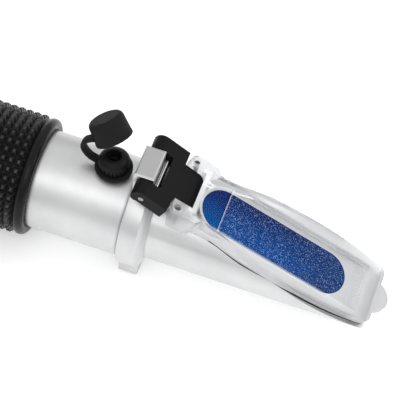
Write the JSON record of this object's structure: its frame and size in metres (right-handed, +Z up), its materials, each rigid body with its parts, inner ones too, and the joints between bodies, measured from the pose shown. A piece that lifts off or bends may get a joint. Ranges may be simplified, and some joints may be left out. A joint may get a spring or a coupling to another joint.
{
  "type": "handheld refractometer",
  "caption": "Handheld optical refractometer: prism under a clear hinged cover, light barrel with rubber grip, capped calibration screw, focusing eyepiece.",
  "frame": {"origin": "centre of the flat foot under the collar", "axes": "+X along the barrel towards the prism's tip, +Z up out of the prism side, +Y to the left seen from the eyepiece"},
  "size_m": [0.1704, 0.033, 0.0483],
  "materials": {
    "aluminium_body": "satin, fine-turned",
    "prism_glass": "polished blue optical glass",
    "clear_plastic": "clear moulded acrylic",
    "black_rubber": "matt",
    "grey_rubber": "soft satin",
    "black_anodised": "black anodised",
    "black_plastic": "fine satin",
    "steel": "bright",
    "dark_screws": "blackened",
    "brass": "turned",
    "lens_glass": "coated"
  },
  "bodies": {
    "root": {"prism_head": "aluminium_body", "main_prism": "prism_glass", "prism_seal": "black_rubber", "light_baffle": "black_anodised", "head_seal": "black_rubber", "barrel_tube": "aluminium_body", "rubber_grip": "black_rubber", "screw_boss": "black_anodised", "cap_ring": "grey_rubber", "cap_strap": "grey_rubber", "objective_guide": "black_anodised", "return_spring": "steel", "reticle_holder": "black_anodised", "scale_reticle": "lens_glass", "reticle_ring": "black_anodised", "eyepiece_sleeve": "brass", "hinge_pin": "steel", "friction_pin": "steel"},
    "cover": {"hinge_bracket": "black_plastic", "cover_plate": "clear_plastic", "cover_screws": "dark_screws"},
    "cap": {"rubber_cap": "grey_rubber"},
    "objective": {"objective_cell": "brass", "objective_lens": "lens_glass", "objective_ring": "brass", "bimetal_strip": "steel", "strip_rivets": "brass"},
    "adjuster": {"calibration_screw": "steel"},
    "ocular": {"ocular_cell": "black_anodised", "eye_lens": "lens_glass", "lens_spacer": "black_anodised", "field_lens": "lens_glass", "ocular_ring": "black_anodised"},
    "eyecup": {"focus_ring": "black_anodised", "eyecup": "black_rubber"}
  },
  "joints": [
    {"name": "cover_hinge", "type": "hinge", "parent": "root", "child": "cover", "pos_m": [0.0014, 0, 0.0356], "axis": [0, -1, 0], "range_deg": [0, 100]},
    {"name": "cap_swing", "type": "hinge", "parent": "root", "child": "cap", "pos_m": [-0.01916, 0.00649, 0.03394], "axis": [-0.521, -0.8399, 0.152], "range_deg": [-41.9, 10], "stiffness_Nm_per_rad": 0.0001, "deforming": ["cap_strap"]},
    {"name": "objective_shift", "type": "slide", "parent": "root", "child": "objective", "axis": [0, 0, -1], "range_m": [-0.00035, 0.00035], "deforming": ["return_spring"]},
    {"name": "calibration_turn", "type": "hinge", "parent": "objective", "child": "adjuster", "pos_m": [-0.0092, 0, 0.0295], "axis": [0, 0, -1], "range_deg": [-360, 360]},
    {"name": "focus_travel", "type": "slide", "parent": "root", "child": "ocular", "axis": [1, 0, 0], "range_m": [-0.0012, 0.0012]},
    {"name": "focus_turn", "type": "hinge", "parent": "ocular", "child": "eyecup", "pos_m": [-0.0925, 0, 0.0165], "axis": [1, 0, 0], "range_deg": [-180, 180]}
  ],
  "couplings": [
    {"joint": "calibration_turn", "follows": "objective_shift", "rad_per_m": 17950},
    {"joint": "focus_travel", "follows": "focus_turn", "m_per_rad": 0.00038197}
  ]
}
